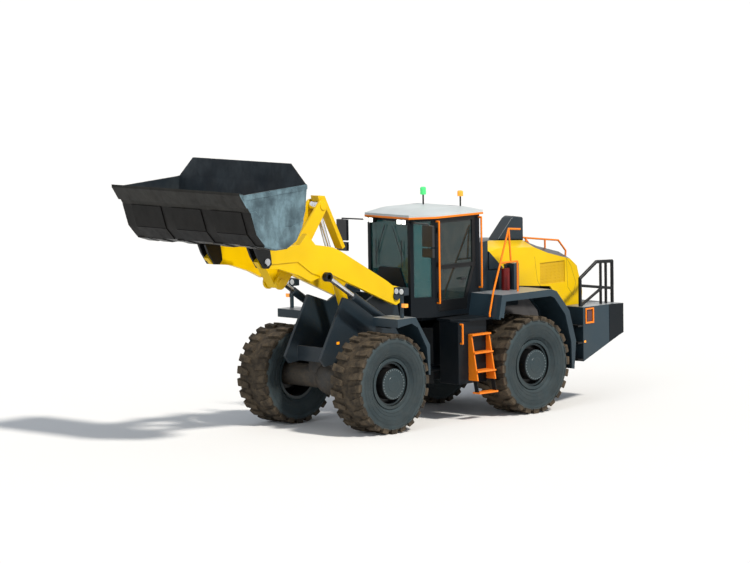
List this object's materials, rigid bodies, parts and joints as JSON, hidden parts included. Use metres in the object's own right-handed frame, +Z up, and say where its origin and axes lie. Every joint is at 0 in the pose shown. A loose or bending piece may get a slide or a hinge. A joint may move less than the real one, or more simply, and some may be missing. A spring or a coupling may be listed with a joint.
{
  "type": "wheel loader",
  "caption": "Articulated wheel loader with lift arms, rolled-back bucket on a quick coupler, glazed cab, rear engine hood and counterweight.",
  "frame": {"origin": "on the ground under the middle of the machine's overall box, boom and bucket as parked", "axes": "+X forward towards the bucket, +Y to the machine's left, +Z up"},
  "size_m": [10.61, 3.428, 5.18],
  "materials": {
    "body_yellow": "glossy bright yellow paint",
    "frame_grey": "satin dark blue-grey paint with dust",
    "rail_orange": "bright orange paint",
    "rail_black": "black paint",
    "roof_grey": "pale grey paint",
    "bucket_steel": "dark blue-grey paint worn to bluish steel",
    "chrome_rod": "hard chrome",
    "tyre": "dusty black rubber",
    "cab_glass": "clear glass with a green tint",
    "black_plastic": "matt black plastic",
    "seat_fabric": "black woven cloth",
    "engine_grey": "grey cast iron"
  },
  "bodies": {
    "rear_body": {"rear_frame": "frame_grey", "engine_block": "engine_grey", "cooling_pack": "engine_grey", "rear_axle": "frame_grey", "cab_shell": "frame_grey", "cab_glass": "cab_glass", "cab_roof": "roof_grey", "operator_place": "seat_fabric", "steering_console": "black_plastic", "mirrors": "black_plastic", "rear_fenders": "frame_grey", "side_decks": "frame_grey", "side_boxes": "frame_grey", "ladders": "rail_orange", "hand_rails": "rail_orange", "front_cowl": "frame_grey", "counterweight": "frame_grey", "guard_rails": "rail_black", "tail_lamps": "rail_orange", "roof_lamps": "black_plastic", "fender_fittings": "frame_grey"},
    "cab_door": {"cab_door": "rail_black", "door_glass": "cab_glass"},
    "engine_hood": {"hood": "body_yellow", "intake_stack": "frame_grey", "hood_rails": "rail_orange"},
    "front_body": {"front_frame": "frame_grey", "front_axle": "frame_grey", "front_fenders": "frame_grey", "front_lamps": "black_plastic"},
    "boom": {"boom": "body_yellow"},
    "bell_crank": {"bell_crank": "body_yellow"},
    "tilt_link": {"tilt_link": "body_yellow"},
    "bucket": {"quick_coupler": "rail_black", "bucket": "bucket_steel"},
    "lift_barrels": {"lift_barrels": "frame_grey"},
    "lift_rods": {"lift_rods": "chrome_rod"},
    "tilt_barrel": {"tilt_barrel": "body_yellow"},
    "tilt_rod": {"tilt_rod": "chrome_rod", "tilt_guard": "body_yellow"},
    "steer_barrel_left": {"steer_barrel_left": "frame_grey"},
    "steer_rod_left": {"steer_rod_left": "chrome_rod"},
    "steer_barrel_right": {"steer_barrel_right": "frame_grey"},
    "steer_rod_right": {"steer_rod_right": "chrome_rod"},
    "wheel_front_left": {"tyre_front_left": "tyre", "rim_front_left": "frame_grey"},
    "wheel_front_right": {"tyre_front_right": "tyre", "rim_front_right": "frame_grey"},
    "wheel_rear_left": {"tyre_rear_left": "tyre", "rim_rear_left": "frame_grey"},
    "wheel_rear_right": {"tyre_rear_right": "tyre", "rim_rear_right": "frame_grey"}
  },
  "joints": [
    {"name": "steering", "type": "hinge", "parent": "rear_body", "child": "front_body", "pos_m": [-0.575, 0, 1.1], "axis": [0, 0, 1], "range_deg": [-37, 37]},
    {"name": "boom_lift", "type": "hinge", "parent": "front_body", "child": "boom", "pos_m": [0.355, 0, 2.45], "axis": [0, -1, 0], "range_deg": [-49, 21]},
    {"name": "bucket_tilt", "type": "hinge", "parent": "boom", "child": "bucket", "pos_m": [3.755, 0, 3.35], "axis": [0, -1, 0], "range_deg": [-115, 15]},
    {"name": "crank_turn", "type": "hinge", "parent": "boom", "child": "bell_crank", "pos_m": [2.415, 0, 3.36], "axis": [0, -1, 0], "range_deg": [-12, 78]},
    {"name": "link_turn", "type": "hinge", "parent": "bell_crank", "child": "tilt_link", "pos_m": [2.835, 0, 2.86], "axis": [0, -1, 0], "range_deg": [-125, 20]},
    {"name": "lift_barrel_swing", "type": "hinge", "parent": "front_body", "child": "lift_barrels", "pos_m": [0.605, 0, 1.94], "axis": [0, -1, 0], "range_deg": [-55, 25]},
    {"name": "lift_rod_slide", "type": "slide", "parent": "lift_barrels", "child": "lift_rods", "axis": [0.8477, 0, 0.5305], "range_m": [-0.46, 0.21]},
    {"name": "tilt_barrel_swing", "type": "hinge", "parent": "front_body", "child": "tilt_barrel", "pos_m": [0.855, 0, 1.8], "axis": [0, -1, 0], "range_deg": [-48, 22]},
    {"name": "tilt_rod_slide", "type": "slide", "parent": "tilt_barrel", "child": "tilt_rod", "axis": [0.3361, 0, 0.9418], "range_m": [-0.82, 0.12]},
    {"name": "door_swing", "type": "hinge", "parent": "rear_body", "child": "cab_door", "pos_m": [-0.693, 0.818, 2.9], "axis": [0, 0, -1], "range_deg": [0, 85]},
    {"name": "hood_lift", "type": "hinge", "parent": "rear_body", "child": "engine_hood", "pos_m": [-4.805, 0, 1.965], "axis": [0, -1, 0], "range_deg": [0, 50]},
    {"name": "steer_barrel_left_swing", "type": "hinge", "parent": "rear_body", "child": "steer_barrel_left", "pos_m": [-1.605, 0.55, 0.95], "axis": [0, 0, 1], "range_deg": [-13, 13]},
    {"name": "steer_rod_left_slide", "type": "slide", "parent": "steer_barrel_left", "child": "steer_rod_left", "axis": [1, 0, 0], "range_m": [-0.36, 0.36]},
    {"name": "steer_barrel_right_swing", "type": "hinge", "parent": "rear_body", "child": "steer_barrel_right", "pos_m": [-1.605, -0.55, 0.95], "axis": [0, 0, 1], "range_deg": [-13, 13]},
    {"name": "steer_rod_right_slide", "type": "slide", "parent": "steer_barrel_right", "child": "steer_rod_right", "axis": [1, 0, 0], "range_m": [-0.36, 0.36]},
    {"name": "wheel_front_left_spin", "type": "hinge", "parent": "front_body", "child": "wheel_front_left", "pos_m": [1.355, 1.255, 0.9375], "axis": [0, 1, 0], "continuous": true},
    {"name": "wheel_front_right_spin", "type": "hinge", "parent": "front_body", "child": "wheel_front_right", "pos_m": [1.355, -1.255, 0.9375], "axis": [0, 1, 0], "continuous": true},
    {"name": "wheel_rear_left_spin", "type": "hinge", "parent": "rear_body", "child": "wheel_rear_left", "pos_m": [-2.505, 1.255, 0.9375], "axis": [0, 1, 0], "continuous": true},
    {"name": "wheel_rear_right_spin", "type": "hinge", "parent": "rear_body", "child": "wheel_rear_right", "pos_m": [-2.505, -1.255, 0.9375], "axis": [0, 1, 0], "continuous": true}
  ],
  "couplings": [
    {"joint": "crank_turn", "follows": "bucket_tilt", "ratio": -0.64},
    {"joint": "link_turn", "follows": "bucket_tilt", "ratio": 1.05},
    {"joint": "tilt_rod_slide", "follows": "bucket_tilt", "m_per_rad": 0.4},
    {"joint": "tilt_barrel_swing", "follows": "boom_lift", "ratio": 0.92},
    {"joint": "lift_barrel_swing", "follows": "boom_lift", "ratio": 1.06},
    {"joint": "lift_rod_slide", "follows": "boom_lift", "m_per_rad": 0.525},
    {"joint": "steer_barrel_left_swing", "follows": "steering", "ratio": 0.3},
    {"joint": "steer_barrel_right_swing", "follows": "steering", "ratio": 0.3},
    {"joint": "steer_rod_left_slide", "follows": "steering", "m_per_rad": -0.536},
    {"joint": "steer_rod_right_slide", "follows": "steering", "m_per_rad": 0.536}
  ]
}
